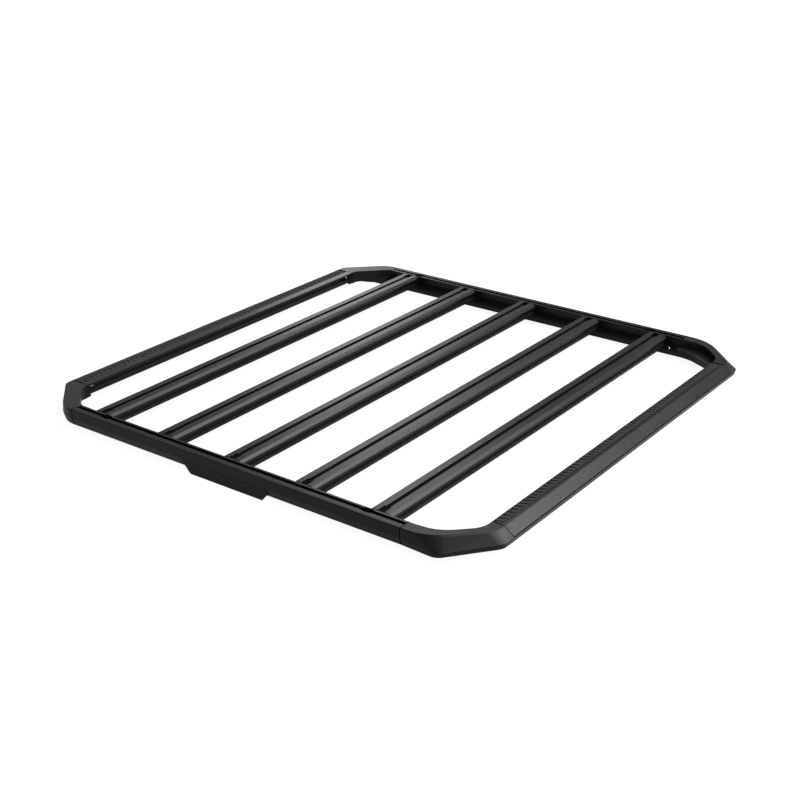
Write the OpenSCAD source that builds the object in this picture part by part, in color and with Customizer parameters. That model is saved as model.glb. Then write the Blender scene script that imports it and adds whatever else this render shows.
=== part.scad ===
// Flat platform roof rack: extruded side rails, end rails and cross slats, joined by cast corners.
// X runs along the car with the front at +X, Y runs across it, and Z is up.
// The origin lies under the middle, level with the lower edges of the two side plates.
// Profiles are drawn with 0 at the top plane, so their heights are negative.

/* [Frame] */
// Length over the front and rear rails
frame_l = 1500; // [1440:10:1800]
// Width over the side rails
frame_w = 1495; // [1200:5:1800]
// Height of the side rails
frame_h = 46; // [44:1:56]
// Open seam between a rail and a corner
seam = 0.8; // [0.2:0.1:0.9]
// Running fit of pieces that slide into each other
fit = 0.3; // [0.2:0.1:0.8]

/* [Side rails] */
// Width of the rail's top, from its outer face to its inner edge
rail_top_w = 37; // [36:0.5:44]
// Width of the slot along the rail's top
rail_slot_w = 12; // [10:0.5:14]
// Width of the lip on the inner side of the slot
rail_lip_w = 6.4; // [5.5:0.1:8]
// Width of the channel behind the slot
rail_channel_w = 21; // [20:0.5:22]
// Depth of the channel's floor below the top
rail_channel_d = 16; // [12:0.5:18]
// Thickness of the lips over the channel
rail_lip_t = 3; // [2:0.1:4]
// Thickness of the rail's inner walls
rail_wall = 2.5; // [2:0.1:2.8]
// Thickness of the rail's outer wall
rail_skin = 3; // [2.5:0.1:4]
// Depth at which the outer face starts to lean in
facet_down = 27; // [22:1:34]
// How far the outer face leans in at the bottom
facet_in = 5; // [3:0.5:8]
// Reach of the inner flange, from the outer face
flange_reach = 70; // [66:1:84]
// Depth of the flange's top below the top plane
flange_down = 32; // [31:0.5:33]
// Width of the groove along the flange
flange_groove_w = 5; // [3:0.5:7]
// Depth of that groove
flange_groove_d = 4; // [2:0.5:5]
// Width of the land between the groove and the flange's edge
flange_land = 6.5; // [4:0.5:9]
// Length of each drop-in opening in the rail's slot
rail_drop_l = 30; // [20:1:40]
// Distance of the drop-in openings from the first and last slats
rail_drop_x = 29; // [20:1:60]

/* [Slats] */
// Distance of the first and last slats from the ends of the side rails
slat_inset = 83; // [78:1:120]
// Width over the slat's shoulders
slat_w = 66.5; // [62:0.5:72]
// Width of the slat's flat top
slat_top_w = 50; // [44:1:54]
// Drop of the sloping shoulders
slat_shoulder = 6; // [4:0.5:7]
// Height of the upright sides under the shoulders
slat_side_h = 7; // [6:0.5:8]
// Width between the recesses along the sides
slat_waist_w = 52; // [44:1:56]
// Slant of the recesses' walls
slat_waist_step = 2.5; // [1:0.5:3]
// Width over the slat's feet
slat_foot_w = 67; // [62:0.5:70]
// Height of the slat's feet
slat_foot_h = 7.5; // [6:0.5:8]
// Width of the slat's slots
slat_slot_w = 12.5; // [8:0.5:14]
// Width of the channel behind a slat's slot
slat_channel_w = 22; // [21:0.5:26]
// Depth of the channel's floor
slat_channel_d = 11; // [10:0.5:12]
// Thickness of the slat's walls
slat_wall = 2.4; // [2:0.1:3]
// Length of the drop-in openings at the slat's ends
slat_drop_l = 30; // [20:1:40]
// Gap between a slat's end and the rail's web
slat_gap = 2.5; // [0.5:0.1:5]
// Width of every drop-in opening
drop_w = 20.4; // [18:0.2:20.8]
// Chamfer of every drop-in opening
drop_chamfer = 4.5; // [2:0.5:6]

/* [End rails] */
// Flat width on top of the front rail
front_flat = 36; // [30:1:50]
// Flat width on top of the rear rail
rear_flat = 59.5; // [52:0.5:70]
// Width of the fascia that slopes out and down
fascia_w = 26; // [20:1:34]
// Drop of the sloping fascia
fascia_drop = 21; // [15:1:26]
// Height of the end rails
end_h = 36; // [34:1:40]
// How far the end rail's lower edge leans in
end_lean = 4; // [2:0.5:7]
// Wall of the end rails
end_wall = 3; // [2.4:0.1:3.6]
// Depth of the recess under the top's inner edge
recess_in = 15; // [10:0.5:20]
// Inset of the lower flange from the top's inner edge
lower_in = 9; // [5:0.5:12]
// Depth of the lower flange's top
lower_down = 21.5; // [17:0.5:24]

/* [Grip strips] */
// Width of the front grip strip
front_grip_w = 24; // [20:1:26]
// Width of the rear grip strip
rear_grip_w = 34; // [26:1:40]
// Depth of the pocket that holds the strip
grip_pocket = 3; // [2:0.5:4]
// Thickness of the strip under its ribs
grip_t = 1.8; // [1.2:0.1:2]
// Height of the ribs
rib_h = 1.2; // [0.8:0.1:2]
// Distance from rib to rib
rib_pitch = 18; // [17:1:30]
// Width of a rib at its outer end
rib_outer_w = 15; // [10:0.5:16]
// Width of a rib at its inner end
rib_inner_w = 9; // [6:0.5:11]
// Slant of the ribs
rib_slant = 24; // [0:1:35]
// Width of the rim beside the pocket
grip_rim = 1.5; // [1.2:0.1:3]
// Gap at each end of a strip
grip_end = 5; // [1:0.5:8]

/* [Corners] */
// Length of a front corner along its side rail
front_corner_l = 215; // [210:1:220]
// Length of a front corner along the front rail
front_corner_w = 151; // [150:1:190]
// Length of a rear corner along its side rail
rear_corner_l = 179; // [178:1:185]
// Length of a rear corner along the rear rail
rear_corner_w = 139; // [139:1:145]
// Cut of the front corner's crease line across the corner of the frame's box
front_crease_cut = 147.5; // [145:0.5:150]
// Cut of the rear corner's crease line
rear_crease_cut = 141.5; // [139:0.5:143]
// Cut of the front corner's widest line
front_outer_cut = 112.5; // [108:0.5:118]
// Distance from the rear end at which a rear corner's widest line leaves the side
rear_outer_side = 139.5; // [137:0.5:140]
// Distance from the side at which it meets the rear end
rear_outer_end = 132.5; // [130:0.5:132.5]
// Width of the front corner's flat top across the corner
front_band = 22; // [18:1:26]
// Width of the rear corner's flat top across the corner
rear_band = 47; // [44:1:48]
// Distance from the front end at which a front corner's lower flange leaves the side
front_low_side = 172; // [166:1:176]
// Distance from the side at which it meets the front rail
front_low_end = 143; // [138:1:144]
// Cut of the rear corner's lower flange across the corner of the frame's box
rear_low_cut = 196; // [192:1:198]
// Depth of the lower flange's top in the corners
shelf_down = 22; // [20:0.5:26]
// How much lower than the end rails the corners' flanges hang
low_drop = 4; // [0:0.5:5]
// Depth of the facet at a front corner's turn
facet_turn = 36; // [28:1:38]
// How far a front corner's lower edge comes out at its turn
flare = 4.5; // [0:0.5:4.5]
// Inset of a rear corner's inner wall from the inner edge of its top
rear_wall_in = 1; // [0.5:0.5:2]
// Length of a rear corner's skirt past the seam, under the rear rail
skirt_l = 14; // [8:1:24]
// Step from a rear corner's wall to its skirt
skirt_step = 0.8; // [0.6:0.1:1.2]
// Wall of the cast corners
corner_wall = 3; // [2.5:0.1:4]
// Thickness of the plates that close a corner's ends
corner_plate = 4; // [3:0.5:8]

/* [Joiners] */
// Length of a joiner inside its rail
joiner_l = 60; // [40:1:90]
// Length of a side joiner inside the corner
joiner_side_in = 20; // [16:1:21]
// Length of an end joiner inside the corner
joiner_end_in = 14; // [10:1:15]
// Width of the end joiners
joiner_end_w = 16; // [12:1:17]

/* [Side plates] */
// Length of a side plate's upper edge
plate_l = 289; // [200:1:400]
// Length taken off the lower edge by the slanted rear end
plate_rear_slope = 29; // [0:1:40]
// Length taken off the lower edge by the slanted front end
plate_front_slope = 17; // [0:1:40]
// Offset of the side plates from the middle of the frame
plate_shift = -14; // [-40:1:40]
// Height of the upright part of a side plate's ends
plate_end_h = 10; // [6:1:14]
// Height of the side plates
plate_h = 31; // [28:1:40]
// How far a side plate hangs below its rail
plate_hang = 16; // [10:1:24]
// Thickness of a side plate
plate_t = 4; // [3:0.5:6]
// Reach of the side plate's foot under the rail
plate_foot = 28; // [20:1:40]

/* [Hidden] */

cut_over = 1;
satin_black = "#26272a";
dark_grip = "#1d1e20";
bare_metal = "#8d9094";

top_z = frame_h + plate_hang;
half_l = frame_l / 2;
half_w = frame_w / 2;
slat_h = flange_down;
slat_count = 5;
slat_half_l = half_w - rail_top_w - slat_gap;
front_seam_x = half_l - front_corner_l;
rear_seam_x = half_l - rear_corner_l;
slat_first_x = slat_inset - rear_seam_x;
slat_last_x = front_seam_x - slat_inset;
slat_pitch = (slat_last_x - slat_first_x) / (slat_count - 1);
front_seam_y = half_w - front_corner_w;
rear_seam_y = half_w - rear_corner_w;

// Edge between a rail's top and its outer face
edge = 3;
// Small grooves that run along the rails
groove_w = 1.2;
groove_d = 0.8;
// Places across the side rail, measured in from its outer face
slot_in = rail_top_w - rail_lip_w;
slot_out = slot_in - rail_slot_w;
web_out = rail_top_w - rail_wall;
channel_out = web_out - rail_channel_w;
facet_lean = facet_in / (frame_h - facet_down);

// Outline of a side rail: x is the distance in from the outer face
module side_rail_outline() {
    polygon([
        [facet_in, -frame_h], [0, -facet_down], [0, -edge], [edge / 3, -edge / 3], [edge, 0],
        [rail_top_w, 0], [rail_top_w, -flange_down], [flange_reach, -flange_down],
        [flange_reach, -frame_h]
    ]);
}

module side_rail_section() {
    under_channel = -rail_channel_d - rail_wall;
    low = -frame_h + rail_wall;
    groove_out = flange_reach - flange_land - flange_groove_w;
    difference() {
        side_rail_outline();
        translate([channel_out, -rail_channel_d])
            square([rail_channel_w, rail_channel_d - rail_lip_t]);
        translate([slot_out, -rail_lip_t - cut_over])
            square([rail_slot_w, rail_lip_t + 2 * cut_over]);
        polygon([
            [rail_skin, -rail_skin], [channel_out - rail_wall, -rail_skin],
            [channel_out - rail_wall, under_channel], [web_out, under_channel], [web_out, low],
            [rail_skin + facet_lean * (-low - facet_down), low], [rail_skin, -facet_down]
        ]);
        translate([rail_top_w, low])
            square([groove_out - rail_wall - rail_top_w, frame_h - flange_down - 2 * rail_wall]);
        translate([groove_out, low])
            square([
                flange_reach - groove_out - rail_wall,
                frame_h - flange_down - flange_groove_d - 2 * rail_wall
            ]);
        translate([groove_out, -flange_down - flange_groove_d])
            square([flange_groove_w, flange_groove_d + cut_over]);
        for (x = [edge + 3, slot_out - 4])
            translate([x, -groove_d / 2])
                square([groove_w, groove_d / 2 + cut_over]);
    }
}

// Side rail on the right, from the rear seam to the front seam
module side_rail() {
    rail_l = front_seam_x + rear_seam_x - 2 * seam;
    color(satin_black)
        difference() {
            translate([-rear_seam_x + seam, -half_w, top_z])
                rotate([90, 0, 90])
                    linear_extrude(rail_l)
                        side_rail_section();
            for (x = [slat_first_x + rail_drop_x, slat_last_x - rail_drop_x])
                translate([x, -half_w + (slot_in + slot_out) / 2, top_z])
                    rotate([0, 0, 90])
                        drop_in(rail_drop_l, rail_lip_t, true);
        }
}

// Cutter for a drop-in opening: it runs along y, with a chamfered neck at one or both ends
module drop_in(length, lip_t, both) {
    w = drop_w / 2;
    c = drop_chamfer;
    translate([0, 0, -lip_t - cut_over / 2])
        linear_extrude(lip_t + cut_over)
            translate([0, -length / 2])
                polygon(concat(
                    [[w, c], [w, length - (both ? c : 0)]],
                    both ? [[w - c, length], [c - w, length]] : [],
                    [[-w, length - (both ? c : 0)], [-w, c], [c - w, 0], [w - c, 0]]
                ));
}

// Right half of a slat's outline, from its flat top down to its foot
function slat_half() =
    let (
        side_low = -slat_shoulder - slat_side_h,
        foot_top = -slat_h + slat_foot_h
    )
    [
        [slat_top_w / 2, 0], [slat_w / 2, -slat_shoulder], [slat_w / 2, side_low],
        [slat_waist_w / 2, side_low - slat_waist_step],
        [slat_waist_w / 2, foot_top + slat_waist_step],
        [slat_foot_w / 2, foot_top], [slat_foot_w / 2, -slat_h]
    ];

function mirrored(points) = [for (k = [len(points) - 1:-1:0]) [-points[k][0], points[k][1]]];

// Slot and channel for square-headed bolts, open at y = 0
module bolt_channel() {
    translate([-slat_slot_w / 2, -slat_wall - cut_over])
        square([slat_slot_w, slat_wall + 2 * cut_over]);
    translate([-slat_channel_w / 2, -slat_channel_d])
        square([slat_channel_w, slat_channel_d - slat_wall]);
}

// Hollow in a slat's side, a wall's thickness inside its outline
module slat_side_hollow() {
    t = slat_wall;
    side_low = -slat_shoulder - slat_side_h;
    foot_top = -slat_h + slat_foot_h;
    polygon([
        [slat_channel_w / 2 + t, -t], [slat_top_w / 2 - t / 4, -t],
        [slat_w / 2 - t, -slat_shoulder - t / 2], [slat_w / 2 - t, side_low + t],
        [slat_waist_w / 2 - t, side_low - slat_waist_step + t],
        [slat_waist_w / 2 - t, foot_top + slat_waist_step - t],
        [slat_foot_w / 2 - t, foot_top - t], [slat_foot_w / 2 - t, -slat_h + t],
        [slat_channel_w / 2 + t, -slat_h + t]
    ]);
}

module slat_section() {
    middle_h = slat_h - 2 * slat_channel_d - 2 * slat_wall;
    difference() {
        polygon(concat(slat_half(), mirrored(slat_half())));
        bolt_channel();
        translate([0, -slat_h])
            mirror([0, 1])
                bolt_channel();
        translate([-slat_channel_w / 2, -slat_channel_d - slat_wall - middle_h])
            square([slat_channel_w, middle_h]);
        for (side = [0, 1])
            mirror([side, 0])
                slat_side_hollow();
    }
}

// Slat number i counted from the rear, seated on the flanges of both side rails
module slat(i) {
    color(satin_black)
        translate([slat_first_x + (i - 1) * slat_pitch, 0, top_z])
            difference() {
                rotate([90, 0, 0])
                    linear_extrude(2 * slat_half_l, center = true)
                        slat_section();
                for (side = [0, 1])
                    mirror([0, side, 0])
                        translate([0, slat_half_l - slat_drop_l / 2 + cut_over, 0])
                            drop_in(slat_drop_l + 2 * cut_over, slat_wall, false);
            }
}

// Section of an end rail: x is the distance in from the outermost line
module end_rail_section(flat_w, pocket_at, pocket_w) {
    top_in = fascia_w + flat_w;
    web = top_in - recess_in;
    low = top_in - lower_in;
    under = grip_pocket + end_wall;
    slope = fascia_drop / fascia_w;
    skin = end_wall * sqrt(1 + slope * slope);
    difference() {
        polygon([
            [end_lean, -end_h], [0, -fascia_drop - groove_w], [groove_d, -fascia_drop - groove_w],
            [groove_d, -fascia_drop], [0, -fascia_drop],
            [fascia_w, 0], [top_in, 0], [top_in, -under],
            [web, -under - 2], [web, -lower_down], [low, -lower_down], [low, -end_h]
        ]);
        translate([pocket_at, -grip_pocket])
            square([pocket_w, grip_pocket + cut_over]);
        polygon([
            [end_lean + end_wall, -end_h + end_wall],
            [end_wall + groove_d, -slope * (fascia_w - end_wall - groove_d) - skin],
            [fascia_w - (under - skin) / slope, -under],
            [web - end_wall, -under], [web - end_wall, -end_h + end_wall]
        ]);
    }
}

function front_top_in() = fascia_w + front_flat;
function rear_top_in() = fascia_w + rear_flat;

// Rail across one end, as long as the space between the corners
module end_rail(seam_y, flat_w, pocket_at, grip_w) {
    linear_extrude(2 * (seam_y - seam), center = true)
        end_rail_section(flat_w, pocket_at, grip_w + 2 * fit);
}

function front_pocket_at() = front_top_in() - grip_rim - front_grip_w - 2 * fit;
function rear_pocket_at() = fascia_w + grip_rim;

module front_rail() {
    color(satin_black)
        translate([half_l, 0, top_z])
            rotate([90, 0, 180])
                end_rail(front_seam_y, front_flat, front_pocket_at(), front_grip_w);
}

module rear_rail() {
    color(satin_black)
        translate([-half_l, 0, top_z])
            rotate([90, 0, 0])
                end_rail(rear_seam_y, rear_flat, rear_pocket_at(), rear_grip_w);
}

// Ribbed strip that lies in a rail's pocket: x runs from its outer to its inner edge
module grip_strip(strip_l, strip_w) {
    lean = strip_w * tan(rib_slant);
    ribs = floor((strip_l - rib_outer_w - lean) / rib_pitch);
    first = -ribs * rib_pitch / 2;
    translate([0, -strip_l / 2, 0])
        cube([strip_w, strip_l, grip_t]);
    translate([0, 0, grip_t])
        linear_extrude(rib_h)
            for (i = [0:ribs])
                let (y = first + i * rib_pitch)
                polygon([
                    [0, y + (lean - rib_outer_w) / 2], [strip_w, y - (lean + rib_inner_w) / 2],
                    [strip_w, y + (rib_inner_w - lean) / 2], [0, y + (lean + rib_outer_w) / 2]
                ]);
}

module front_grip_strip() {
    color(dark_grip)
        translate([half_l - front_pocket_at() - fit, 0, top_z - grip_pocket])
            mirror([1, 0, 0])
                grip_strip(2 * (front_seam_y - seam - grip_end), front_grip_w);
}

module rear_grip_strip() {
    color(dark_grip)
        translate([-half_l + rear_pocket_at() + fit, 0, top_z - grip_pocket])
            mirror([0, 1, 0])
                grip_strip(2 * (rear_seam_y - seam - grip_end), rear_grip_w);
}

// Points of a right-hand turn by an angle that starts at p and heads along dir
function turn(p, dir, angle, r, steps) = [
    for (i = [0:steps])
        let (a = angle * i / steps)
        p + r * [
            cos(dir) * sin(a) + sin(dir) * (1 - cos(a)),
            sin(dir) * sin(a) - cos(dir) * (1 - cos(a))
        ]
];

// A line that runs along a corner. side and end are its places in the two rails' sections, as
// [distance in, height]. meet says where its slanted part meets the side, from the frame's end,
// and where it meets the end, from the frame's side. soft is the length of its two turns, and
// bend is its place in the section where it starts to turn.
function line(side, end, meet, soft, bend = undef) =
    [side, end, meet, soft, is_undef(bend) ? side : bend];

// A line whose slanted part cuts straight across the corner of the frame's box
function cut_line(side, end, cut, soft) = line(side, end, [cut - side[0], cut - end[0]], soft);

function line_slope(l) = atan2(l[2][1] - l[4][0], l[2][0] - l[1][0]);

// The same line a wall's thickness w further out, and dz higher
function outward(l, w, dz) =
    let (slope = line_slope(l))
    line(
        l[0] + [-w, dz], l[1] + [-w, dz],
        l[2] - w * [tan(slope / 2), tan(45 - slope / 2)], l[3], l[4] + [-w, dz]
    );

// Plan of a line of the front left corner, from the side seam round to the end seam
function guide(seam_x, seam_y, l, steps) =
    let (
        slope = line_slope(l),
        at_side = [half_l - l[2][0], half_w - l[4][0]],
        at_end = [half_l - l[1][0], half_w - l[2][1]]
    )
    concat(
        [[seam_x, half_w - l[0][0]]],
        turn(at_side - [l[3][0], 0], 0, slope, l[3][0] / tan(slope / 2), steps),
        turn(
            at_end - l[3][1] * [cos(slope), -sin(slope)], -slope, 90 - slope,
            l[3][1] / tan(45 - slope / 2), steps
        ),
        [[at_end[0], seam_y]]
    );

// Height of each point of a line: it changes along the slanted part, a little in the turns
function heights(l, steps, in_turn = 0.1) =
    let (from = l[4][1], by = l[1][1] - l[4][1])
    concat(
        [l[0][1]],
        [for (i = [0:steps]) from + by * in_turn * i / steps],
        [for (i = [0:steps]) from + by * (1 - in_turn + in_turn * i / steps)],
        [l[1][1]]
    );

// Lines of the cast shell in order round its section: outside, top, recess, flange and hollow
function shell_lines(
    flat_w, crease_cut, outer_meet, band, insets, shelf_meet, low_meet, bend, low_bend, softs
) =
    let (
        w = corner_wall,
        top_in = fascia_w + flat_w,
        top_cut = crease_cut + band * sqrt(2),
        web_e = top_in - insets[0],
        web_cut = top_cut - insets[0] * sqrt(2),
        low_e = top_in - insets[1],
        under = grip_pocket + end_wall,
        near = edge / fascia_drop,
        outer = line([0, -facet_down], [0, -fascia_drop], outer_meet, softs[0], bend),
        bottom = line(
            [facet_in, -frame_h], [end_lean, -end_h], outer_meet + [1, 1], softs[0], low_bend
        ),
        crease = cut_line([edge, 0], [fascia_w, 0], crease_cut, softs[1]),
        root = cut_line([rail_top_w, -shelf_down], [web_e, -lower_down], web_cut, softs[2]),
        shelf = line([flange_reach, -shelf_down], [low_e, -lower_down], shelf_meet, softs[3]),
        foot = line(
            [flange_reach, -frame_h], [low_e, -end_h - low_drop], low_meet, softs[3]
        )
    )
    [
        bottom,
        outer,
        line(
            [0, -edge], [fascia_w * (1 - near), -edge],
            crease[2] * (1 - near) + outer_meet * near + [edge * (1 - near), 0], softs[1]
        ),
        crease,
        cut_line([rail_top_w, 0], [top_in, 0], top_cut, softs[2]),
        cut_line([rail_top_w, -w - 1], [top_in, -under], top_cut, softs[2]),
        cut_line([rail_top_w, -w - 2], [web_e, -under - 2], web_cut, softs[2]),
        root,
        shelf,
        foot,
        outward(foot, w, 0),
        outward(shelf, w, -w),
        outward(root, w, -w),
        outward(cut_line([rail_top_w, -w], [web_e, -w], web_cut, softs[2]), w, 0),
        outward(crease, -1, -w),
        outward(outer, -w, -0.5),
        outward(bottom, -w, 0)
    ];

// Closed surface through the rings, which all have as many points
module swept(rings) {
    n = len(rings[0]);
    last = len(rings) - 1;
    polyhedron(
        points = [for (ring = rings) each ring],
        faces = concat(
            [[for (k = [0:n - 1]) k]],
            [[for (k = [n - 1:-1:0]) last * n + k]],
            [
                for (i = [0:last - 1], k = [0:n - 1])
                    let (a = i * n + k, b = i * n + (k + 1) % n)
                    each [[a, b + n, b], [a, a + n, b + n]]
            ]
        ),
        convexity = 8
    );
}

module corner_shell(seam_x, seam_y, lines, steps = 6) {
    plans = [for (l = lines) guide(seam_x, seam_y, l, steps)];
    levels = [for (l = lines) heights(l, steps)];
    swept([
        for (i = [0:len(plans[0]) - 1])
            [for (k = [0:len(lines) - 1]) [plans[k][i][0], plans[k][i][1], top_z + levels[k][i]]]
    ]);
}

// Section of a side joiner, in the side rail's own section
module joiner_side_section(gap) {
    x0 = rail_skin + facet_in + fit;
    x1 = rail_top_w - max(rail_wall, corner_wall) - fit;
    z0 = -frame_h + rail_wall + fit;
    z1 = -rail_channel_d - rail_wall - fit;
    translate([x0 - gap, z0 - gap])
        square([x1 - x0 + 2 * gap, z1 - z0 + 2 * gap]);
}

// Section of an end joiner, in the end rail's own section
module joiner_end_section(top_in, gap) {
    x1 = top_in - recess_in - end_wall - fit;
    z0 = -end_h + end_wall + fit;
    z1 = -grip_pocket - end_wall - fit - 0.5;
    translate([x1 - joiner_end_w - gap, z0 - gap])
        square([joiner_end_w + 2 * gap, z1 - z0 + 2 * gap]);
}

// Puts a section of the left side rail upright at seam_x, running forwards
module at_side(seam_x) {
    translate([seam_x, half_w, top_z])
        mirror([0, 1, 0])
            rotate([90, 0, 90])
                children();
}

// Puts a section of the front rail upright at seam_y, running to the left
module at_end(seam_y) {
    translate([half_l, seam_y, top_z])
        rotate([90, 0, 180])
            children();
}

// Corner at the front left; the rear ones are made as front ones and turned round
module corner(seam_x, seam_y, flat_w, lines) {
    color(satin_black) {
        corner_shell(seam_x, seam_y, lines);
        at_side(seam_x)
            linear_extrude(corner_plate)
                difference() {
                    polygon([for (k = [0:9]) lines[k][0]]);
                    joiner_side_section(fit);
                }
        at_end(seam_y)
            linear_extrude(corner_plate)
                difference() {
                    polygon([for (k = [0:9]) lines[k][1]]);
                    joiner_end_section(fascia_w + flat_w, fit);
                }
    }
}

module front_corner() {
    corner(
        front_seam_x, front_seam_y, front_flat,
        shell_lines(
            front_flat, front_crease_cut, [front_outer_cut, front_outer_cut], front_band,
            [recess_in, lower_in], [front_low_side, front_low_end],
            [front_low_side, front_low_end], [0, -facet_turn], [facet_in - flare, -frame_h],
            [[15, 14], [56, 22], [48, 26], [36, 6]]
        )
    );
}

// A rear corner's inner wall comes straight down from its top, without a recess
module rear_corner() {
    wall_in = rear_top_in() - rear_wall_in / 2;
    shelf_cut = rear_crease_cut + rear_band * sqrt(2) - rear_wall_in;
    corner(
        rear_seam_x, rear_seam_y, rear_flat,
        shell_lines(
            rear_flat, rear_crease_cut, [rear_outer_side, rear_outer_end], rear_band,
            [rear_wall_in, rear_wall_in / 2], [shelf_cut - flange_reach, shelf_cut - wall_in],
            [rear_low_cut - flange_reach, rear_low_cut - wall_in], undef, undef,
            [[36, 3], [34, 12], [6, 14], [12, 14]]
        )
    );
    color(satin_black)
        skirt(wall_in);
}

// Plate of a rear corner that runs on past its seam and covers the end of the rail's recess
module skirt(wall_in) {
    rail_in = rear_top_in() - lower_in + fit;
    low = -end_h - low_drop + skirt_step;
    high = -grip_pocket - end_wall - fit;
    at_end(rear_seam_y - skirt_l)
        linear_extrude(skirt_l + corner_plate / 2)
            translate([rail_in, low])
                square([wall_in - skirt_step - rail_in, high - low]);
}

module joiner_side(seam_x) {
    color(bare_metal)
        at_side(seam_x - joiner_l)
            linear_extrude(joiner_l + joiner_side_in)
                joiner_side_section(0);
}

module joiner_end(seam_y, top_in) {
    color(bare_metal)
        at_end(seam_y - joiner_l)
            linear_extrude(joiner_l + joiner_end_in)
                joiner_end_section(top_in, 0);
}

// Plate on the right, hooked under the side rail and hanging below it
module side_plate() {
    upper = -frame_h + plate_h - plate_hang;
    lower = -frame_h - plate_hang;
    rear = plate_shift - plate_l / 2;
    front = plate_shift + plate_l / 2;
    color(satin_black)
        translate([0, -half_w, top_z])
            intersection() {
                translate([rear, 0, 0])
                    rotate([90, 0, 90])
                        linear_extrude(plate_l)
                            polygon([
                                [0, upper], [facet_lean * (-upper - facet_down) - fit, upper],
                                [facet_in - fit, -frame_h], [plate_foot, -frame_h],
                                [plate_foot, -frame_h - plate_t], [plate_t, -frame_h - plate_t],
                                [plate_t, lower], [0, lower]
                            ]);
                rotate([90, 0, 0])
                    translate([0, 0, -plate_foot - cut_over])
                        linear_extrude(plate_foot + 2 * cut_over)
                            polygon([
                                [rear, upper], [front, upper],
                                [front, upper - plate_end_h],
                                [front - plate_front_slope, lower],
                                [rear + plate_rear_slope, lower],
                                [rear + plate_rear_slope / 8, upper - plate_end_h / 2]
                            ]);
            }
}

mirror([0, 1, 0]) side_rail();  // side_rail_left
side_rail();  // side_rail_right
front_rail();
rear_rail();
front_grip_strip();
rear_grip_strip();
slat(1);  // slat_1
slat(2);  // slat_2
slat(3);  // slat_3
slat(4);  // slat_4
slat(5);  // slat_5
front_corner();  // corner_front_left
mirror([0, 1, 0]) front_corner();  // corner_front_right
mirror([1, 0, 0]) rear_corner();  // corner_rear_left
rotate([0, 0, 180]) rear_corner();  // corner_rear_right
joiner_side(front_seam_x);  // joiner_front_left_side
mirror([0, 1, 0]) joiner_side(front_seam_x);  // joiner_front_right_side
mirror([1, 0, 0]) joiner_side(rear_seam_x);  // joiner_rear_left_side
rotate([0, 0, 180]) joiner_side(rear_seam_x);  // joiner_rear_right_side
joiner_end(front_seam_y, front_top_in());  // joiner_front_left_end
mirror([0, 1, 0]) joiner_end(front_seam_y, front_top_in());  // joiner_front_right_end
mirror([1, 0, 0]) joiner_end(rear_seam_y, rear_top_in());  // joiner_rear_left_end
rotate([0, 0, 180]) joiner_end(rear_seam_y, rear_top_in());  // joiner_rear_right_end
mirror([0, 1, 0]) side_plate();  // side_plate_left
side_plate();  // side_plate_right
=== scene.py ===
import math

import bmesh
import bpy
from mathutils import Matrix, Vector


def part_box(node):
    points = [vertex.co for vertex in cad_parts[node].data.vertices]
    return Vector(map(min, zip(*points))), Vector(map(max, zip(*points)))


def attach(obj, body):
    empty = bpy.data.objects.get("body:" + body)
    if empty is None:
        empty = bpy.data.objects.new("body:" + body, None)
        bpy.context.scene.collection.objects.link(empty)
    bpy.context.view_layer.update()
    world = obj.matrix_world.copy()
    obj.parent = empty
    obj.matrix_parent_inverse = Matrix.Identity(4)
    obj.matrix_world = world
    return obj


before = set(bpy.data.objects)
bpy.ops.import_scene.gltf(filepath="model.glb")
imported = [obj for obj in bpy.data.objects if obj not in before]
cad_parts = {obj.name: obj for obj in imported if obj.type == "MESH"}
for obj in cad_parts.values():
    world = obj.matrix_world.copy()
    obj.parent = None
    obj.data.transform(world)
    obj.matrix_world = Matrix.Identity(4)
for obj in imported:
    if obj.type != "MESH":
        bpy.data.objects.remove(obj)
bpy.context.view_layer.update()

# Sizes are in metres, in the CAD's frame: front at +X, left at +Y, top plane of the rack at TOP.
MM = 0.001
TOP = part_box("slat_3")[1][2]
SLATS = ["slat_1", "slat_2", "slat_3", "slat_4", "slat_5"]
# Each side with its direction along Y, and each end with its direction along X
SIDES = {"left": 1, "right": -1}
ENDS = {"front": 1, "rear": -1}
AXIS_X, AXIS_Y, AXIS_Z = (1, 0, 0), (0, 1, 0), (0, 0, 1)


def limit(box, axis, direction):
    """Where a box ends along axis (0 or 1), on the side that direction (1 or -1) points to."""
    low, high = box
    return high[axis] if direction > 0 else low[axis]


# Materials

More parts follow.
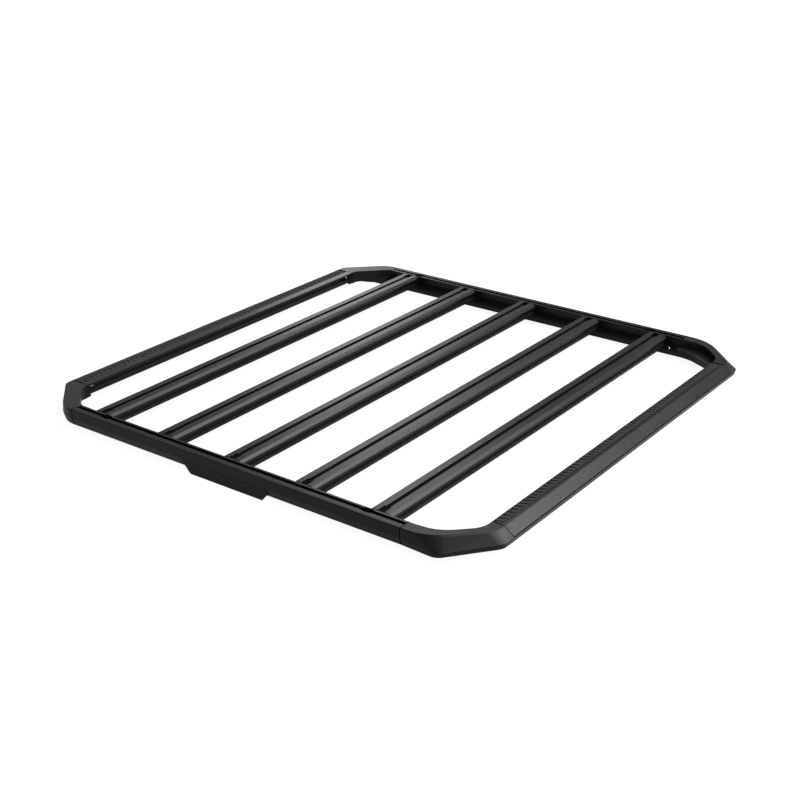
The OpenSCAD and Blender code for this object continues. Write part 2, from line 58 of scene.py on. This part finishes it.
class Nodes:
    """A node tree, with short calls for the nodes that looks are made of."""

    def __init__(self, tree):
        self.nodes = tree.nodes
        self.links = tree.links

    def add(self, kind, **settings):
        node = self.nodes.new(kind)
        for key, value in settings.items():
            setattr(node, key, value)
        return node

    def link(self, out, into):
        self.links.new(out, into)

    def place(self, scale=(1, 1, 1)):
        """Object position in metres, stretched by scale."""
        where = self.add("ShaderNodeTexCoord")
        stretch = self.add("ShaderNodeMapping")
        stretch.inputs["Scale"].default_value = scale
        self.link(where.outputs["Object"], stretch.inputs["Vector"])
        return stretch.outputs["Vector"]

    def noise(self, scale, detail=2.0, stretch=(1, 1, 1)):
        texture = self.add("ShaderNodeTexNoise")
        texture.inputs["Scale"].default_value = scale
        texture.inputs["Detail"].default_value = detail
        self.link(self.place(stretch), texture.inputs["Vector"])
        return texture.outputs["Fac"]

    def levels(self, value, low, high, out_low, out_high):
        """value from low to high becomes out_low to out_high, and stays within them."""
        remap = self.add("ShaderNodeMapRange")
        for socket, number in zip(("From Min", "From Max", "To Min", "To Max"), (low, high, out_low, out_high)):
            remap.inputs[socket].default_value = number
        self.link(value, remap.inputs["Value"])
        return remap.outputs["Result"]

    def mix(self, factor, first, second):
        """A colour between two given ones."""
        blend = self.add("ShaderNodeMix", data_type="RGBA")
        self.link(factor, blend.inputs["Factor"])
        blend.inputs["A"].default_value = (*first, 1)
        blend.inputs["B"].default_value = (*second, 1)
        return blend.outputs["Result"]

    def maths(self, operation, *values):
        """A math node over values, each of which is a number or another node's output."""
        result = self.add("ShaderNodeMath", operation=operation)
        for socket, value in zip(result.inputs, values):
            if isinstance(value, bpy.types.NodeSocket):
                self.link(value, socket)
            else:
                socket.default_value = value
        return result.outputs["Value"]

    def sum(self, first, second, share=1.0):
        """first + share * second"""
        return self.maths("MULTIPLY_ADD", second, share, first)

    def product(self, first, second):
        return self.maths("MULTIPLY", first, second)

    def openness(self, reach):
        """1 on open surfaces, and less where other surfaces stand within reach."""
        cavity = self.add("ShaderNodeAmbientOcclusion", samples=8, only_local=True)
        cavity.inputs["Distance"].default_value = reach
        return cavity.outputs["AO"]

    def ray(self, kind):
        """1 for rays of one kind, such as Camera or Glossy, and 0 for the others."""
        return self.add("ShaderNodeLightPath").outputs["Is %s Ray" % kind]


class Shader(Nodes):
    """One material's node tree, with its surface node."""

    def __init__(self, name):
        self.material = bpy.data.materials.new(name)
        self.material.use_nodes = True
        super().__init__(self.material.node_tree)
        self.surface = self.nodes["Principled BSDF"]

    def bump(self, height, depth, rounding=0.0):
        relief = self.add("ShaderNodeBump")
        relief.inputs["Strength"].default_value = 1.0
        relief.inputs["Distance"].default_value = depth
        self.link(height, relief.inputs["Height"])
        if rounding:
            edge = self.add("ShaderNodeBevel", samples=4)
            edge.inputs["Radius"].default_value = rounding
            self.link(edge.outputs["Normal"], relief.inputs["Normal"])
        self.link(relief.outputs["Normal"], self.surface.inputs["Normal"])


# How far the occlusion reaches that paints shade into cavities and adds roughness there
CAVITY_REACH = 14 * MM
CAVITY_ROUGHNESS = 0.5


def coated(name, dark, light, rough, gloss, grain, drawn=None, rounding=0.6 * MM):
    """Powder coat: fine grain, slow changes of shade and, along the axis drawn, faint lines of extruded metal; in
    cavities, painted shade and more roughness.
    """
    s = Shader(name)
    s.surface.inputs["Specular IOR Level"].default_value = gloss
    shade = s.noise(9.0, 3.0)
    height = s.noise(1.0 / grain, 2.0)
    peak = 1.0
    if drawn:
        lines = s.noise(1.0, 3.0, stretch=[1.5 if along else 700.0 for along in drawn])
        shade = s.sum(shade, lines, 0.5)
        height = s.sum(height, lines, 0.8)
        peak = 1.5
    # In slots and channels ambient occlusion pulls the colour to the dark end, which is painted shade, and makes the
    # coat matt
    open_air = s.openness(CAVITY_REACH)
    tone_and_cavity_shade = s.product(s.levels(shade, 0.3 * peak, 0.7 * peak, 0.0, 1.0), open_air)
    s.link(s.mix(tone_and_cavity_shade, dark, light), s.surface.inputs["Base Color"])
    worn = s.levels(shade, 0.25 * peak, 0.75 * peak, rough - 0.03, rough + 0.04)
    matt = s.levels(open_air, 0.25, 0.7, CAVITY_ROUGHNESS, 0.0)
    s.link(s.sum(worn, matt), s.surface.inputs["Roughness"])
    s.bump(height, 0.05 * MM, rounding)
    return s.material


def rubber(name, dark, light, gloss=0.3):
    """Moulded rubber: matt, with a fine stipple."""
    s = Shader(name)
    s.surface.inputs["Specular IOR Level"].default_value = gloss
    stipple = s.add("ShaderNodeTexVoronoi")
    stipple.inputs["Scale"].default_value = 1.0 / (1.3 * MM)
    s.link(s.place(), stipple.inputs["Vector"])
    slow = s.noise(14.0, 3.0)
    s.link(s.mix(s.levels(slow, 0.3, 0.7, 0.0, 1.0), dark, light), s.surface.inputs["Base Color"])
    s.link(s.levels(slow, 0.3, 0.7, 0.62, 0.74), s.surface.inputs["Roughness"])
    s.bump(stipple.outputs["Distance"], 0.12 * MM, 0.5 * MM)
    return s.material


def bare_metal(name, colour, rough):
    """Metal without a coat: a fine grain and a slight mottle."""
    s = Shader(name)
    s.surface.inputs["Metallic"].default_value = 1.0
    grain = s.noise(1.0, 3.0, stretch=(500.0, 500.0, 500.0))
    slow = s.noise(60.0, 3.0)
    darker = [channel * 0.75 for channel in colour]
    s.link(s.mix(s.levels(slow, 0.3, 0.7, 0.0, 1.0), darker, colour), s.surface.inputs["Base Color"])
    s.link(s.levels(slow, 0.3, 0.7, rough - 0.06, rough + 0.08), s.surface.inputs["Roughness"])
    s.bump(grain, 0.03 * MM)
    return s.material


COAT = dict(dark=(0.0035, 0.0035, 0.0037), light=(0.0070, 0.0070, 0.0073), rough=0.26, gloss=0.2)
CAST = dict(dark=(0.0040, 0.0040, 0.0042), light=(0.0075, 0.0075, 0.0078), grain=0.9 * MM)
# A light grey coat for the band that paints the highlight along the front corners' shelf edge
SHELF_HIGHLIGHT = dict(dark=(0.040, 0.040, 0.041), light=(0.060, 0.060, 0.061), grain=0.9 * MM)
materials = {
    "side_rail": coated("side_rail_coat", **COAT, grain=0.7 * MM, drawn=AXIS_X),
    "end_rail": coated("end_rail_coat", **COAT, grain=0.7 * MM, drawn=AXIS_Y),
    "slat": coated("slat_coat", **COAT, grain=0.7 * MM, drawn=AXIS_Y),
    "corner": coated("corner_coat", **CAST, rough=0.33, gloss=0.2, rounding=0.0),
    "lip": coated("corner_lip_coat", **SHELF_HIGHLIGHT, rough=0.4, gloss=0.5, rounding=0.0),
    "plate": coated("plate_coat", **COAT, grain=0.8 * MM),
    "grip": rubber("grip_rubber", (0.012, 0.012, 0.0123), (0.019, 0.019, 0.0193)),
    "joiner": coated("joiner_coat", **CAST, rough=0.55, gloss=0.3),
    "screw": bare_metal("screw_black_zinc", (0.10, 0.10, 0.105), 0.36),
    "bright_screw": bare_metal("screw_bright_zinc", (0.62, 0.62, 0.64), 0.24),
    "stud": rubber("grip_stud_rubber", (0.022, 0.022, 0.0225), (0.034, 0.034, 0.0345), gloss=0.5),
    # Near black: painted shadow in the seams, the grips' gaps and pockets and the rails' shadow line, and the colour
    # of the dark joint and moulding lines
    "void": rubber("void_black", (0.001, 0.001, 0.001), (0.002, 0.002, 0.002), gloss=0.03),
}
# The material of each CAD node, by the first words of its name
NODE_MATERIALS = {
    "side_rail": "side_rail", "front_rail": "end_rail", "rear_rail": "end_rail", "slat": "slat",
    "corner": "corner", "side_plate": "plate", "front_grip": "grip", "rear_grip": "grip", "joiner": "joiner",
}
for node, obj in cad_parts.items():
    look = next(look for start, look in NODE_MATERIALS.items() if node.startswith(start))
    for slot in obj.material_slots:
        slot.material = materials[look]


# Calls that build small pieces

def finished(bm, name, look, smooth_angle=35):
    """Makes bm a piece on the rack, with its material and the slot that it takes its finish from."""
    bmesh.ops.remove_doubles(bm, verts=bm.verts, dist=1e-6)
    bmesh.ops.recalc_face_normals(bm, faces=bm.faces)
    mesh = bpy.data.meshes.new(name)
    bm.to_mesh(mesh)
    bm.free()
    for face in mesh.polygons:
        face.use_smooth = True
    mesh.set_sharp_from_angle(angle=math.radians(smooth_angle))
    mesh.materials.append(materials[look])
    obj = bpy.data.objects.new(name, mesh)
    bpy.context.scene.collection.objects.link(obj)
    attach(obj, "root")


def spun(bm, profile, matrix, segments=28):
    """Adds a solid of revolution: profile is (radius, height) pairs, and a radius of 0 closes it with a point."""
    rings = []
    for radius, height in profile:
        turns = [2 * math.pi * k / segments for k in range(segments if radius else 1)]
        rings.append([bm.verts.new(matrix @ Vector((radius * math.cos(turn), radius * math.sin(turn), height)))
                      for turn in turns])
    for lower, upper in zip(rings, rings[1:]):
        for k in range(segments):
            after = (k + 1) % segments
            corners = [lower[k % len(lower)], lower[after % len(lower)],
                       upper[after % len(upper)], upper[k % len(upper)]]
            corners = list(dict.fromkeys(corners))
            if len(corners) > 2:
                bm.faces.new(corners)


def socket_screw(bm, matrix, head_r=6.5 * MM, head_h=3.8 * MM, washer_r=8.5 * MM, washer_h=1.4 * MM):
    """A round-headed socket screw on its washer, standing up along the matrix's z axis."""
    spun(bm, [(0, 0), (washer_r, 0), (washer_r, washer_h * 0.8), (washer_r - washer_h * 0.2, washer_h),
              (head_r * 0.9, washer_h), (0, washer_h)], matrix)
    socket_r = head_r * 0.42
    rim_z = washer_h + head_h * 0.96
    bulge = [(head_r * math.cos(t), washer_h + head_h * math.sin(t)) for t in [k * math.pi / 12 for k in range(5)]]
    spun(bm, [(head_r, washer_h), *bulge, (socket_r * 1.12, washer_h + head_h), (socket_r, rim_z)], matrix)
    spun(bm, [(socket_r, rim_z), (socket_r, washer_h + head_h * 0.35), (0, washer_h + head_h * 0.3)], matrix,
         segments=6)


def washer(bm, matrix, outer_r, inner_r, height):
    """A flat ring with a rounded rim and an open middle."""
    rim = height * 0.3
    spun(bm, [(inner_r, 0), (outer_r, 0), (outer_r, height - rim), (outer_r - rim, height),
              (inner_r + rim, height), (inner_r, height - rim), (inner_r, 0)], matrix)


def lofted(bm, rows):
    """Adds a solid that runs through rows, which all have the same number of points, and closes both ends."""
    rows = [[bm.verts.new(point) for point in row] for row in rows]
    for first, second in zip(rows, rows[1:]):
        for k in range(len(first) - 1):
            bm.faces.new([first[k], first[k + 1], second[k + 1], second[k]])
        bm.faces.new([first[-1], first[0], second[0], second[-1]])
    bm.faces.new(rows[0])
    bm.faces.new(list(reversed(rows[-1])))


def prism(bm, outline, axis, start, end):
    """Adds a solid between two planes across axis (0, 1 or 2); outline has the other two coordinates in order."""
    lofted(bm, [[(*pair[:axis], level, *pair[axis:]) for pair in outline] for level in (start, end)])


def band(bm, path, across, width, proud):
    """Adds a thin strip that follows path, a list of points, with its width along the axis across."""
    path = [Vector(point) for point in path]
    half = Vector(across) * width / 2
    rows = []
    for k, point in enumerate(path):
        before = path[max(k - 1, 0)]
        after = path[min(k + 1, len(path) - 1)]
        up = (after - before).cross(half).normalized() * proud
        rows.append([point + half, point + half * 0.6 + up, point - half * 0.6 + up, point - half])
    lofted(bm, rows)


def dome(bm, centre, along, across, half_l, half_w, height, steps=10):
    """Adds a low lens-shaped pad: pointed at both ends of along, and round in section."""
    rows = []
    for k in range(steps + 1):
        t = -1 + 2 * k / steps
        wide = across * (half_w * (1 - t * t) + 0.2 * MM)
        high = Vector(AXIS_Z) * height * (1 - t * t) ** 0.5
        crown = high + Vector(AXIS_Z) * 0.05 * MM
        base = Vector(centre) + along * (t * half_l)
        rows.append([base + wide, base + wide * 0.6 + high * 0.8, base + crown, base - wide * 0.6 + high * 0.8,
                     base - wide])
    lofted(bm, rows)


# Screws under the side rails' flanges, which hold the slats: one near each edge of a slat's end
DOWN = Matrix.Rotation(math.pi, 4, "X")
SCREW_FROM_SLOT = 19 * MM
SCREW_FROM_FLANGE_EDGE = 17 * MM
for side, out in SIDES.items():
    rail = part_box("side_rail_" + side)
    y = limit(rail, 1, -out) + out * SCREW_FROM_FLANGE_EDGE
    bm = bmesh.new()
    for slat in SLATS:
        slat_low, slat_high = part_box(slat)
        middle = (slat_low[0] + slat_high[0]) / 2
        for x in (middle - SCREW_FROM_SLOT, middle + SCREW_FROM_SLOT):
            socket_screw(bm, Matrix.Translation((x, y, rail[0][2])) @ DOWN)
    finished(bm, "slat_screws_" + side, "screw")


# Small features on the corners' inner walls, at the places where the photograph shows them
# How far behind the rear rail's forward edge the corner's wall and the back of the rail's recess stand, and how
# far inside the rack's outermost line the inner wall beside a side rail stands
WALL_BACK, RECESS_BACK, SIDE_WALL_IN = 1.2 * MM, 14.5 * MM, 37 * MM
FORWARDS = Matrix.Rotation(math.pi / 2, 4, "Y")
INWARDS = {"left": Matrix.Rotation(math.pi / 2, 4, "X"), "right": Matrix.Rotation(-math.pi / 2, 4, "X")}
# The rear corners' ribs: the first one's distance outside the seam, and an outline in mm as
# (distance in front of the corner's wall, distance along it)
RIBS, RIB_PITCH, FIRST_RIB = 7, 5.2 * MM, 19 * MM
RIB_TOP, RIB_FOOT = TOP - 8 * MM, TOP - 33 * MM
RIB_OUTLINE = [(-1.5, -1.1), (0.5, -0.7), (0.9, 0), (0.5, 0.7), (-1.5, 1.1)]
# The tongues in mm: their reach past the side seam, their root inside the corner, their middle and half height
TONGUE_REACH, TONGUE_ROOT, TONGUE_MIDDLE, TONGUE_R = 19, -4, -18, 12
for side, out in SIDES.items():
    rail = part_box("rear_rail")
    seam_y = limit(rail, 1, out)
    wall_x = rail[1][0] - WALL_BACK
    web_x = rail[1][0] - RECESS_BACK
    # Upright ribs from inside the corner to the skirt's end
    bm = bmesh.new()
    for k in range(RIBS):
        y = seam_y + out * (FIRST_RIB - RIB_PITCH * k)
        prism(bm, [(wall_x + u * MM, y + v * MM) for u, v in RIB_OUTLINE], 2, RIB_FOOT, RIB_TOP)
    finished(bm, "corner_rear_%s_ribs" % side, "corner", smooth_angle=20)
    # Screw and open eyelet past the skirt's end, in the rail's recess
    bm = bmesh.new()
    socket_screw(bm, Matrix.Translation((web_x, seam_y - out * 24 * MM, TOP - 12 * MM)) @ FORWARDS,
                 head_r=4 * MM, head_h=3 * MM, washer_r=5 * MM, washer_h=8 * MM)
    finished(bm, "corner_rear_%s_screw" % side, "bright_screw")
    bm = bmesh.new()
    washer(bm, Matrix.Translation((web_x, seam_y - out * 26 * MM, TOP - 19 * MM)) @ FORWARDS,
           outer_r=7.5 * MM, inner_r=4.5 * MM, height=13 * MM)
    finished(bm, "corner_rear_%s_eyelet" % side, "corner")
    # Plug screw in the corner's wall
    bm = bmesh.new()
    socket_screw(bm, Matrix.Translation((wall_x - 0.6 * MM, seam_y + out * 32 * MM, TOP - 17 * MM)) @ FORWARDS,
                 head_r=3.6 * MM, head_h=1.6 * MM, washer_r=5 * MM, washer_h=1 * MM)
    finished(bm, "corner_rear_%s_plug" % side, "screw")
    # Beside the side rail: a bolt down through the flange, an eyelet in the corner's wall and a tongue on the rail's
    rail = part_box("side_rail_" + side)
    wall_y = limit(rail, 1, out) - out * SIDE_WALL_IN
    for end, forwards in ENDS.items():
        seam_x = limit(rail, 0, forwards)
        bm = bmesh.new()
        at = (seam_x - forwards * 31 * MM, limit(rail, 1, -out) + out * 14 * MM, TOP - 32 * MM)
        socket_screw(bm, Matrix.Translation(at), head_r=3.8 * MM, head_h=3 * MM, washer_r=4.6 * MM, washer_h=1.2 * MM)
        finished(bm, "corner_%s_%s_bolt" % (end, side), "bright_screw")
        bm = bmesh.new()
        at = (seam_x + forwards * 38 * MM, wall_y + out * 0.5 * MM, TOP - 20 * MM)
        washer(bm, Matrix.Translation(at) @ INWARDS[side], outer_r=6 * MM, inner_r=3.6 * MM, height=1.6 * MM)
        finished(bm, "corner_%s_%s_eyelet" % (end, side), "corner")
        bm = bmesh.new()
        outline = [(TONGUE_ROOT, TONGUE_MIDDLE + TONGUE_R)]
        for turn in [math.radians(90 - 15 * k) for k in range(13)]:
            outline.append((TONGUE_REACH - TONGUE_R + TONGUE_R * math.cos(turn),
                            TONGUE_MIDDLE + TONGUE_R * math.sin(turn)))
        outline.append((TONGUE_ROOT, TONGUE_MIDDLE - TONGUE_R))
        outline = [(seam_x - forwards * u * MM, TOP + v * MM) for u, v in outline]
        prism(bm, outline, 1, wall_y + out * 0.5 * MM, wall_y - out * 1.8 * MM)
        finished(bm, "corner_%s_%s_tongue" % (end, side), "corner", smooth_angle=20)


# Two lines that follow edges of the front corners: a thin light band along the inner edge of the low shelf, where its
# top meets the upright face, which is a painted highlight, and the moulding line along the top edge of the outer
# slope
SHELF_HIGHEST, SHELF_LOWEST = TOP - 18 * MM, TOP - 44 * MM
SHELF_HIGHLIGHT_W, SHELF_HIGHLIGHT_PROUD = 1.7 * MM, 0.35 * MM
# The slope's top edge lies above this height and in front of this X; the line stands outside and below it
SLOPE_LOWEST, SLOPE_REARMOST = TOP - 6 * MM, 0.68
LINE_OUT, LINE_DOWN = 1.0 * MM, 0.9 * MM
LINE_W, LINE_PROUD = 1.0 * MM, 0.6 * MM
for side in SIDES:
    source = bmesh.new()
    source.from_mesh(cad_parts["corner_front_" + side].data)
    bmesh.ops.remove_doubles(source, verts=source.verts, dist=0.01 * MM)
    lip = bmesh.new()
    moulding_line = bmesh.new()
    for edge in source.edges:
        if len(edge.link_faces) != 2:
            continue
        upright, level = sorted((face.normal for face in edge.link_faces), key=lambda normal: abs(normal.z))
        ends = [vert.co for vert in edge.verts]
        along = ends[1] - ends[0]
        middle = (ends[0] + ends[1]) / 2
        if (level.z > 0.8 and abs(upright.z) < 0.3 and SHELF_LOWEST < middle.z < SHELF_HIGHEST
                and along.length > 2 * MM and upright.dot(middle) <= 0):
            band(lip, ends, along.normalized().cross(Vector(AXIS_Z)), SHELF_HIGHLIGHT_W, SHELF_HIGHLIGHT_PROUD)
        outwards = Vector((upright.x, upright.y, 0)).normalized()
        if (level.z > 0.97 and 0.2 < upright.z < 0.95 and middle.z > SLOPE_LOWEST
                and outwards.dot(middle) > 0 and middle.x > SLOPE_REARMOST):
            path = [point + outwards * LINE_OUT - Vector((0, 0, LINE_DOWN)) for point in ends]
            band(moulding_line, path, outwards, LINE_W, LINE_PROUD)
    source.free()
    finished(lip, "corner_front_%s_lip" % side, "lip", smooth_angle=20)
    finished(moulding_line, "corner_front_%s_moulding_line" % side, "void", smooth_angle=20)


# Dark lines: the shadow gaps at the seams between corners and rails
SIDE_SEAM_W, SIDE_SEAM_PAST_RAIL = 3.4 * MM, 0.6 * MM
END_SEAM_W, END_SEAM_PAST_RAIL = 2.4 * MM, 0.4 * MM
PROUD = 0.12 * MM
# Outlines of the rails in mm as (distance in from the outermost line, height over the top plane)
SIDE_OUTLINE = [(5, -46), (0, -27), (0, -3), (1, -1), (3, 0), (18, 0)]
SIDE_OUTLINE_INNER = [(31, 0), (37, 0)]
END_OUTLINES = {"front": [(4, -36), (0, -21), (26, 0), (62, 0)], "rear": [(4, -36), (0, -21), (26, 0), (85.5, 0)]}
for end, forwards in ENDS.items():
    end_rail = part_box(end + "_rail")
    outer_x = limit(end_rail, 0, forwards)
    for side, out in SIDES.items():
        side_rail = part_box("side_rail_" + side)
        outer_y = limit(side_rail, 1, out)
        seam_x = limit(side_rail, 0, forwards) + forwards * SIDE_SEAM_PAST_RAIL
        seam_y = limit(end_rail, 1, out) + out * END_SEAM_PAST_RAIL
        bm = bmesh.new()
        for outline in (SIDE_OUTLINE, SIDE_OUTLINE_INNER):
            path = [(seam_x, outer_y - out * inset * MM, TOP + height * MM) for inset, height in outline]
            band(bm, path, (out, 0, 0), SIDE_SEAM_W, PROUD)
        path = [(outer_x - forwards * inset * MM, seam_y, TOP + height * MM) for inset, height in END_OUTLINES[end]]
        band(bm, path, (0, -forwards, 0), END_SEAM_W, PROUD)
        finished(bm, "seam_lines_%s_%s" % (end, side), "void", smooth_angle=20)

# The shadow line above the lower edge of each end rail's slope
SHADOW_IN, SHADOW_DOWN, SHADOW_W = 1.0 * MM, 20.2 * MM, 1.8 * MM
for end, forwards in ENDS.items():
    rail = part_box(end + "_rail")
    x = limit(rail, 0, forwards) - forwards * SHADOW_IN
    run = [rail[0][1] + 1 * MM, rail[1][1] - 1 * MM][::forwards]
    bm = bmesh.new()
    band(bm, [(x, y, TOP - SHADOW_DOWN) for y in run], (-0.78, 0, forwards * 0.63), SHADOW_W, PROUD)
    finished(bm, end + "_rail_shadow_line", "void", smooth_angle=20)


# Finer tread on the grip strips than the CAD's ribs, with rows of painted shadow: low forms in the gaps between
# those, one row for each entry.
# An entry has the row's name, its material, where it lies as a share of the strip's width from the outer edge,
# whether its forms point along the slant or across it, and their half length, half width and height in mm.
TREAD = {
    "front": [("waves", "grip", 0.10, True, 3.6, 1.7, 1.1), ("shadow_lenses", "void", 0.60, True, 9.0, 2.0, 0.12)],
    "rear": [("waves", "grip", 0.16, True, 6.0, 2.3, 1.1), ("shadow_lenses", "void", 0.56, False, 5.0, 3.2, 0.12),
             ("studs", "stud", 0.84, False, 4.5, 3.0, 1.3)],
}
# The CAD's ribs: their pitch, their slant and their width at the outer end
TREAD_PITCH, TREAD_SLANT, TREAD_RIB_W = 18 * MM, math.radians(24), 15 * MM
TREAD_DEPTH = 1.2 * MM
POCKET_SHADE_LEVELS = TOP - 2.9 * MM, TOP - 2.2 * MM
WEDGE_LEVELS = TOP - 2.0 * MM, TOP + 0.1 * MM
for end, forwards in ENDS.items():
    low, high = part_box(end + "_grip_strip")
    outer_x = limit((low, high), 0, forwards)
    inner_x = limit((low, high), 0, -forwards)
    strip_w = high[0] - low[0]
    # The slant is along the gaps on the front strip, and the gaps' mirror image on the rear one
    lean = forwards * math.tan(TREAD_SLANT)
    slant_way = Vector((1, lean, 0)).normalized()
    cross_way = Vector((-slant_way.y, slant_way.x, 0))
    gaps = int((high[1] - low[1] - TREAD_RIB_W - strip_w * math.tan(TREAD_SLANT)) / TREAD_PITCH)
    for row, look, share, on_slant, half_l, half_w, height in TREAD[end]:
        # Shadow lenses are dark pads level with the ribs' tops that paint shadow into the gaps, and the rest stands
        # on the gaps' floor
        z = high[2] - 0.02 * MM if row == "shadow_lenses" else TOP - TREAD_DEPTH
        along, across = (slant_way, cross_way) if on_slant else (cross_way, slant_way)
        bm = bmesh.new()
        for k in range(gaps):
            y = (k + 0.5 - gaps / 2) * TREAD_PITCH + (0.5 - share) * strip_w * lean
            centre = (outer_x - forwards * share * strip_w, y, z)
            dome(bm, centre, along, across, half_l * MM, half_w * MM, height * MM)
        finished(bm, "%s_grip_%s" % (end, row), look)
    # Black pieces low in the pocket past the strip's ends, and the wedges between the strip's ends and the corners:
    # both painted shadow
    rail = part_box(end + "_rail")
    bm = bmesh.new()
    for out in SIDES.values():
        strip_y = limit((low, high), 1, out)
        rail_y = limit(rail, 1, out)
        pocket_shade = [(inner_x, strip_y + out * 0.2 * MM), (outer_x, strip_y + out * 2.6 * MM),
               (outer_x, rail_y - out * 0.1 * MM), (inner_x, rail_y - out * 0.1 * MM)]
        prism(bm, pocket_shade, 2, *POCKET_SHADE_LEVELS)
        wedge = [(inner_x, rail_y - out * 0.2 * MM), (inner_x, rail_y - out * 8.0 * MM),
                 (inner_x + 0.7 * (outer_x - inner_x), rail_y - out * 0.2 * MM)]
        prism(bm, wedge, 2, *WEDGE_LEVELS)
    finished(bm, end + "_grip_pocket_shade", "void", smooth_angle=20)
    # The joint line along the strip's forward edge
    bm = bmesh.new()
    band(bm, [(high[0] + 0.3 * MM, y, TOP) for y in (low[1], high[1])], AXIS_X, 1.6 * MM, PROUD)
    finished(bm, end + "_grip_joint_line", "void", smooth_angle=20)


# Floor, backdrop and light

FLOOR = 30.0
floor_mesh = bpy.data.meshes.new("floor")
floor_mesh.from_pydata(
    [(-FLOOR, -FLOOR, 0), (FLOOR, -FLOOR, 0), (FLOOR, FLOOR, 0), (-FLOOR, FLOOR, 0)], [], [(0, 1, 2, 3)])
floor = bpy.data.objects.new("floor", floor_mesh)
bpy.context.scene.collection.objects.link(floor)
paper = Shader("floor_paper")
paper.surface.inputs["Base Color"].default_value = (0.14, 0.14, 0.14, 1)
paper.surface.inputs["Roughness"].default_value = 0.9
paper.surface.inputs["Specular IOR Level"].default_value = 0.1
paper.surface.inputs["Emission Color"].default_value = (1, 1, 1, 1)
# The paper shows white to camera, glossy and transmission rays; its own colour keeps the shadow
from_middle = paper.add("ShaderNodeVectorMath", operation="LENGTH")
paper.link(paper.place(), from_middle.inputs[0])
distance = from_middle.outputs["Value"]
white = paper.levels(distance, 1.5, 7.0, 0.93, 0.99)
seen = paper.sum(paper.sum(paper.ray("Camera"), paper.ray("Glossy")), paper.ray("Transmission"))
# Close to the rack the paper that metal mirrors is dimmer, as the rack itself shades it
shaded = paper.product(paper.ray("Glossy"), paper.levels(distance, 1.4, 3.0, 0.55, 0.0))
glow = paper.product(paper.product(white, seen), paper.maths("SUBTRACT", 1.0, shaded))
paper.link(glow, paper.surface.inputs["Emission Strength"])
floor_mesh.materials.append(paper.material)

# The room around: pale near the horizon, darker above, brighter far to the rear and brightest to the front
world = bpy.context.scene.world or bpy.data.worlds.new("studio")
bpy.context.scene.world = world
world.use_nodes = True
room = Nodes(world.node_tree)
room.nodes.clear()
way = room.add("ShaderNodeSeparateXYZ")
room.link(room.add("ShaderNodeTexCoord").outputs["Generated"], way.inputs["Vector"])
by_height = room.levels(way.outputs["Z"], 0.10, 0.28, 1.0, 0.36)
to_the_rear = room.levels(way.outputs["X"], -0.75, -0.30, 1.3, 0.68)
to_the_front = room.levels(way.outputs["X"], 0.23, 0.32, 1.0, 3.0)
brightness = room.product(room.product(by_height, to_the_rear), to_the_front)
# The camera itself sees white wherever the floor ends
brightness = room.maths("MAXIMUM", brightness, room.ray("Camera"))
backdrop = room.add("ShaderNodeBackground")
backdrop.inputs["Color"].default_value = (1, 1, 1, 1)
room.link(brightness, backdrop.inputs["Strength"])
room.link(backdrop.outputs["Background"], room.add("ShaderNodeOutputWorld").inputs["Surface"])


def softbox(name, at, width, height, power, lean=0.0):
    """A rectangular lamp that faces the rack's middle; lean turns it about the line to there, in degrees."""
    data = bpy.data.lights.new(name, "AREA")
    data.shape = "RECTANGLE"
    data.size, data.size_y, data.energy = width, height, power
    lamp = bpy.data.objects.new(name, data)
    facing = (-Vector(at)).to_track_quat("-Z", "Y").to_matrix().to_4x4()
    lamp.matrix_world = Matrix.Translation(at) @ facing @ Matrix.Rotation(math.radians(lean), 4, "Z")
    bpy.context.scene.collection.objects.link(lamp)


softbox("softbox_strip", (-4.27, 5.70, 3.63), 1.25, 4.0, 41, lean=20)
softbox("softbox_right", (5.2, 6.1, 8.93), 7.6, 7.8, 1580, lean=-40)
softbox("softbox_front", (3.4, -0.75, 3.6), 2.6, 3.4, 120)

# Camera, placed as the photograph's: its position in the CAD's frame, and how far it looks down and is turned
CAMERA_AT = (2.1889, -2.9993, 1.6290)
LOOKS_DOWN, TURNED = math.radians(24.04), math.radians(36.28)
camera_data = bpy.data.cameras.new("camera")
camera_data.sensor_width = 36.0
camera_data.lens = 62.78
camera = bpy.data.objects.new("camera", camera_data)
camera.location = CAMERA_AT
camera.rotation_euler = (math.pi / 2 - LOOKS_DOWN, 0, TURNED)
bpy.context.scene.collection.objects.link(camera)
bpy.context.scene.camera = camera
bpy.context.scene.view_settings.view_transform = "Standard"
